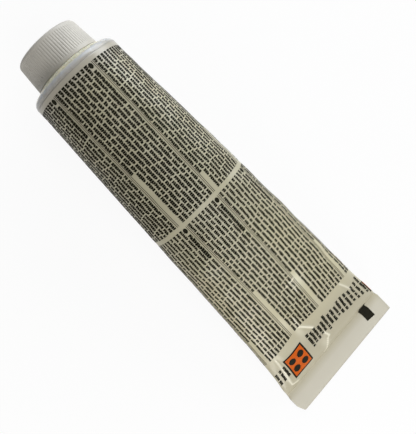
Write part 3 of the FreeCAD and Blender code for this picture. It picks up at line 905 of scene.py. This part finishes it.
def foam_material():
    """Closed-cell foam: fine cells."""
    material, shader = new_material("liner_foam", FOAM_PALE, roughness=0.8)
    place = add(material, "ShaderNodeTexCoord")
    cells = add(material, "ShaderNodeTexVoronoi", Scale=2600)
    link(material, place.outputs["Object"], cells.inputs["Vector"])
    tone = ramp(material, cells.outputs["Distance"], FOAM_PALE, FOAM_DARK)
    link(material, tone, shader.inputs["Base Color"])
    bump(material, shader, cells.outputs["Distance"], distance=0.1 * MM, strength=0.5)
    return material


def paste_material():
    """Smooth thick paste, slightly wet."""
    material, shader = new_material("paste", PASTE_PALE, roughness=0.25)
    tone = ramp(material, noise(material, scale=400), PASTE_PALE, PASTE_DARK)
    link(material, tone, shader.inputs["Base Color"])
    bump(material, shader, noise(material, scale=500), distance=0.2 * MM, strength=0.4)
    return material


def dress(piece, material):
    """Give the piece this one material."""
    slots = piece.material_slots
    if not slots:
        piece.data.materials.append(material)
    for held in slots:
        held.material = material


# ================================================================ floor, light and camera
FLOOR_WHITE = (0.82, 0.82, 0.82)
FLOOR_SHARE = 0.92                      # how much of the floor the camera sees as plain white
FLOOR_HALF = 6.0
WORLD, WORLD_SEEN = 0.18, 0.95          # the surroundings' strength as light, and as they are seen
LAMPS = (
    {"name": "window", "place": (-0.42, 0.72, 0.28), "target": (-0.04, 0.0, 0.02),
     "size": (1.1, 0.5), "watts": 10.4, "colour": (0.92, 0.96, 1.0)},
    {"name": "side", "place": (0.27, -0.22, 0.16), "target": (0.06, -0.02, 0.01),
     "size": (0.16, 0.16), "watts": 0.62, "colour": (1.0, 0.98, 0.94)},
    {"name": "top", "place": (0.62, 0.04, 0.90), "target": (0.0, 0.0, 0.01),
     "size": (0.8, 0.8), "watts": 5.1, "colour": (1, 1, 1)},
)

# The camera was fitted to the photo, which is 416 pixels wide: its lens is 510.49 of these long.
SENSOR_WIDTH = 36.0
FOCAL_LENGTH = SENSOR_WIDTH * 510.49 / 416
CAMERA_SHIFT = -0.0962
CAMERA_CLIP = (0.01, 20)
CAMERA_AT = (-0.02624, -0.03012, 0.20905)
CAMERA_TURNS = ((0.7782, "Z"), (-0.1979, "Y"), (0.0875, "X"))


def seen_rays(holder):
    """1 for rays that look at a surface, straight or mirrored, and 0 for those that gather light."""
    path = add(holder, "ShaderNodeLightPath")
    total = path.outputs["Is Camera Ray"]
    for kind in ("Is Glossy Ray", "Is Transmission Ray"):
        either = add(holder, "ShaderNodeMath", operation="MAXIMUM")
        link(holder, total, either.inputs[0])
        link(holder, path.outputs[kind], either.inputs[1])
        total = either.outputs["Value"]
    return total


def make_floor():
    """A pale floor; the camera sees it mostly as plain white, with the tube's soft shadow left on it."""
    far = FLOOR_HALF
    corners = [(-far, -far, 0), (far, -far, 0), (far, far, 0), (-far, far, 0)]
    floor = mesh_object("floor", corners, [(0, 1, 2, 3)], smooth=False)
    material, shader = new_material("floor", FLOOR_WHITE, roughness=0.9)
    tree = material.node_tree
    output = tree.nodes["Material Output"]
    share = add(material, "ShaderNodeMath", operation="MULTIPLY")
    link(material, seen_rays(material), share.inputs[0])
    share.inputs[1].default_value = FLOOR_SHARE
    white = add(material, "ShaderNodeEmission", Strength=1.0)
    blend = add(material, "ShaderNodeMixShader")
    link(material, share.outputs["Value"], blend.inputs["Fac"])
    link(material, shader.outputs["BSDF"], blend.inputs[1])
    link(material, white.outputs["Emission"], blend.inputs[2])
    link(material, blend.outputs["Shader"], output.inputs["Surface"])
    dress(floor, material)


def area_lamp(name, place, target, size, watts, colour):
    """A rectangular lamp at a place, aimed at a target."""
    lamp = bpy.data.lights.new(name, "AREA")
    lamp.shape = "RECTANGLE"
    lamp.size, lamp.size_y = size
    lamp.energy = watts
    lamp.color = colour
    made = bpy.data.objects.new(name, lamp)
    made.location = place
    made.rotation_euler = (Vector(target) - Vector(place)).to_track_quat("-Z", "Y").to_euler()
    bpy.context.collection.objects.link(made)


def make_light():
    """The lamps and pale surroundings."""
    for lamp in LAMPS:
        area_lamp(**lamp)
    world = bpy.data.worlds.new("studio")
    world.use_nodes = True
    background = world.node_tree.nodes["Background"]
    background.inputs["Color"].default_value = (1, 1, 1, 1)
    link(world, span(world, seen_rays(world), WORLD, WORLD_SEEN), background.inputs["Strength"])
    bpy.context.scene.world = world


def make_camera():
    """Looks down on the tube from the photo's place."""
    lens = bpy.data.cameras.new("camera")
    lens.sensor_fit = "HORIZONTAL"
    lens.sensor_width = SENSOR_WIDTH
    lens.lens = FOCAL_LENGTH
    lens.shift_y = CAMERA_SHIFT
    lens.clip_start, lens.clip_end = CAMERA_CLIP
    camera = bpy.data.objects.new("camera", lens)
    turn = Matrix.Identity(4)
    for angle, axis in CAMERA_TURNS:
        turn = turn @ Matrix.Rotation(angle, 4, axis)
    camera.matrix_world = Matrix.Translation(CAMERA_AT) @ turn
    bpy.context.collection.objects.link(camera)
    bpy.context.scene.camera = camera


# ================================================================ everything together
skin = make_skin()
dress(skin, skin_material())
print_dark, print_dots, print_orange = make_print()
ink_plastic = ink_material()
dress(print_dark, ink_plastic)
dress(print_dots, ink_plastic)
dress(print_orange, orange_material())

head_plastic, cap_plastic = head_material(), cap_material()
neck_thread = ridge("neck_thread", NECK_ROOT, THREAD_RISE, NECK_THREAD, 0.0, "tube")
cap_thread = ridge("cap_thread", BORE, -THREAD_RISE, CAP_THREAD, CAP_THREAD_PHASE, "cap")
dress(neck_thread, head_plastic)
dress(cap_thread, cap_plastic)
dress(frame["nodes"]["tube_head"], head_plastic)
dress(make_cap(), cap_plastic)
dress(frame["nodes"]["cap_liner"], foam_material())
dress(make_paste(), paste_material())

make_floor()
make_light()
make_camera()
bpy.context.scene.view_settings.view_transform = "Standard"
